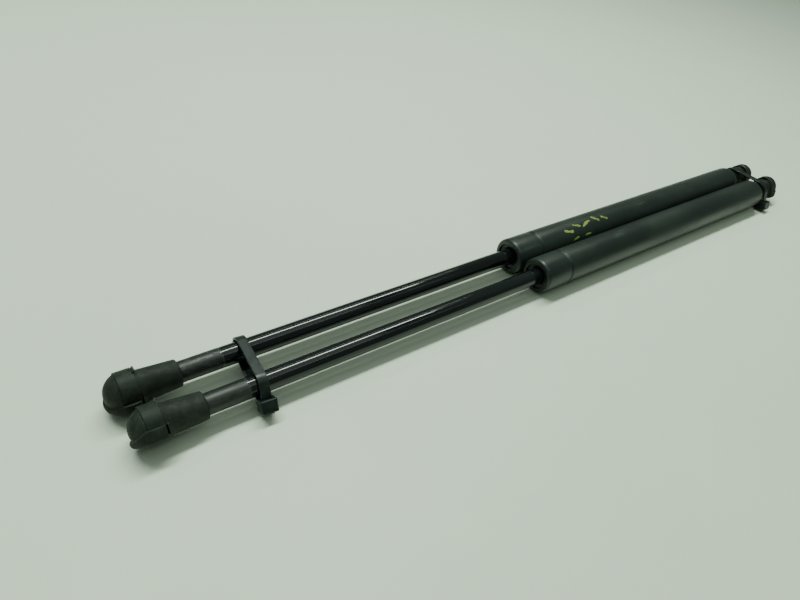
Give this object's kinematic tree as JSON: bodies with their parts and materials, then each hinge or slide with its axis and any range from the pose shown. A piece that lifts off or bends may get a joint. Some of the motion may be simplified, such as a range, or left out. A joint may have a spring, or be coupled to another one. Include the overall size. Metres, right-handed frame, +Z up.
{
  "type": "gas strut stay",
  "caption": "Extended gas struts side by side: black tubes, gloss rods and clipped ball-socket ends, bundled by cable ties at both ends.",
  "frame": {"origin": "on the floor under the middle of the whole bundle's box", "axes": "+X along the struts from the rod ends to the tube ends, +Y towards the left strut, +Z up"},
  "size_m": [0.5378, 0.0496, 0.022],
  "materials": {
    "tube_paint": "semi-matt black powder paint",
    "rod_black": "gloss black nitrided and polished steel",
    "socket_plastic": "moulded black glass-filled nylon",
    "clip_steel": "blackened spring steel",
    "tie_nylon": "black nylon",
    "end_washer_plastic": "moulded",
    "guide_alloy": "die-cast",
    "bush_bronze": "bearing bronze",
    "seal_rubber": "nitrile rubber",
    "plain_steel": "plain steel",
    "piston_alloy": "die-cast",
    "ring_plastic": "filled PTFE"
  },
  "bodies": {
    "tubes": {"left_pressure_tube": "tube_paint", "left_end_washer": "end_washer_plastic", "left_rod_guide": "guide_alloy", "left_guide_bush": "bush_bronze", "left_rod_seal": "seal_rubber", "left_seal_washer": "plain_steel", "left_end_plug": "plain_steel", "left_plug_seal": "seal_rubber", "left_tube_ball_socket": "socket_plastic", "right_pressure_tube": "tube_paint", "right_end_washer": "end_washer_plastic", "right_rod_guide": "guide_alloy", "right_guide_bush": "bush_bronze", "right_rod_seal": "seal_rubber", "right_seal_washer": "plain_steel", "right_end_plug": "plain_steel", "right_plug_seal": "seal_rubber", "right_tube_ball_socket": "socket_plastic", "rear_tie": "tie_nylon"},
    "left_ring_carrier": {"left_piston_ring": "ring_plastic"},
    "left_rod": {"left_piston_rod": "rod_black", "left_stop_washer": "plain_steel", "left_piston": "piston_alloy", "left_orifice_disc": "plain_steel", "left_retaining_washer": "plain_steel", "left_rod_ball_socket": "socket_plastic"},
    "left_rod_clip": {"left_rod_socket_clip": "clip_steel"},
    "left_tube_clip": {"left_tube_socket_clip": "clip_steel"},
    "right_ring_carrier": {"right_piston_ring": "ring_plastic"},
    "right_rod": {"right_piston_rod": "rod_black", "right_stop_washer": "plain_steel", "right_piston": "piston_alloy", "right_orifice_disc": "plain_steel", "right_retaining_washer": "plain_steel", "right_rod_ball_socket": "socket_plastic"},
    "right_rod_clip": {"right_rod_socket_clip": "clip_steel"},
    "right_tube_clip": {"right_tube_socket_clip": "clip_steel"},
    "front_tie": {"front_tie": "tie_nylon"}
  },
  "joints": [
    {"name": "left_rod_slide", "type": "slide", "parent": "tubes", "child": "left_ring_carrier", "axis": [1, 0, 0], "range_m": [0, 0.195], "stiffness_N_per_m": 180, "springref_m": -0.667},
    {"name": "left_rod_spin", "type": "hinge", "parent": "left_ring_carrier", "child": "left_rod", "pos_m": [-0.02835, 0.01382, 0.011], "axis": [1, 0, 0], "continuous": true},
    {"name": "left_rod_clip_pull", "type": "slide", "parent": "left_rod", "child": "left_rod_clip", "axis": [0, 0.1736, 0.9848], "range_m": [0, 0.003]},
    {"name": "left_tube_clip_pull", "type": "slide", "parent": "tubes", "child": "left_tube_clip", "axis": [0, -0.1392, 0.9903], "range_m": [0, 0.003]},
    {"name": "right_rod_slide", "type": "slide", "parent": "tubes", "child": "right_ring_carrier", "axis": [1, 0, 0], "range_m": [0, 0.195], "stiffness_N_per_m": 180, "springref_m": -0.667},
    {"name": "right_rod_spin", "type": "hinge", "parent": "right_ring_carrier", "child": "right_rod", "pos_m": [-0.02565, -0.00838, 0.011], "axis": [1, 0, 0], "continuous": true},
    {"name": "right_rod_clip_pull", "type": "slide", "parent": "right_rod", "child": "right_rod_clip", "axis": [0, 0.7193, 0.6947], "range_m": [0, 0.003]},
    {"name": "right_tube_clip_pull", "type": "slide", "parent": "tubes", "child": "right_tube_clip", "axis": [0, 0.2419, 0.9703], "range_m": [0, 0.003]},
    {"name": "front_tie_slide", "type": "slide", "parent": "tubes", "child": "front_tie", "axis": [1, 0, 0], "range_m": [0, 0.1745]}
  ],
  "couplings": [
    {"joint": "right_rod_slide", "follows": "left_rod_slide", "ratio": 1},
    {"joint": "front_tie_slide", "follows": "left_rod_slide", "ratio": 0.89487}
  ]
}
